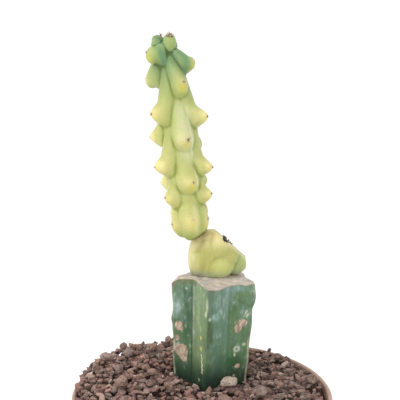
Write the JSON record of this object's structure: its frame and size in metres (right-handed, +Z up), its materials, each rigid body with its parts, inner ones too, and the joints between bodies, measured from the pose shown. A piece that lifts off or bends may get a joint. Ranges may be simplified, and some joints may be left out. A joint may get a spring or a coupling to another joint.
{
  "type": "potted cactus",
  "caption": "Knobbly yellow-green candle cactus grafted on a ribbed green rootstock, in a round brown plastic pot of lava gravel.",
  "frame": {"origin": "centre of the pot's base, on the surface it stands on", "axes": "+Z up; the plant's front faces -Y and the candle stem leans towards -X"},
  "size_m": [0.09, 0.09, 0.2011],
  "materials": {
    "pot_plastic": "satin",
    "lava_gravel": "rough",
    "lava_stone": "rough",
    "rootstock_skin": "satin",
    "scion_base_skin": "satin",
    "candle_skin": "satin",
    "areole_wool": "matte"
  },
  "bodies": {
    "root": {"pot": "pot_plastic", "gravel_bed": "lava_gravel", "rootstock": "rootstock_skin", "scion_base": "scion_base_skin", "candle_stem": "candle_skin", "areole_01": "areole_wool", "areole_02": "areole_wool", "areole_03": "areole_wool", "areole_04": "areole_wool", "areole_05": "areole_wool", "areole_06": "areole_wool", "areole_07": "areole_wool", "areole_08": "areole_wool", "areole_09": "areole_wool", "areole_10": "areole_wool", "areole_11": "areole_wool", "areole_12": "areole_wool", "areole_13": "areole_wool", "areole_14": "areole_wool", "lava_stone_01": "lava_stone", "lava_stone_02": "lava_stone", "lava_stone_03": "lava_stone", "lava_stone_04": "lava_stone", "lava_stone_05": "lava_stone", "lava_stone_06": "lava_stone", "lava_stone_07": "lava_stone", "lava_stone_08": "lava_stone", "lava_stone_09": "lava_stone", "lava_stone_10": "lava_stone", "lava_stone_11": "lava_stone", "lava_stone_12": "lava_stone", "lava_stone_13": "lava_stone", "lava_stone_14": "lava_stone", "lava_stone_15": "lava_stone", "lava_stone_16": "lava_stone", "lava_stone_17": "lava_stone", "lava_stone_18": "lava_stone", "lava_stone_19": "lava_stone", "lava_stone_20": "lava_stone"}
  },
  "joints": []
}
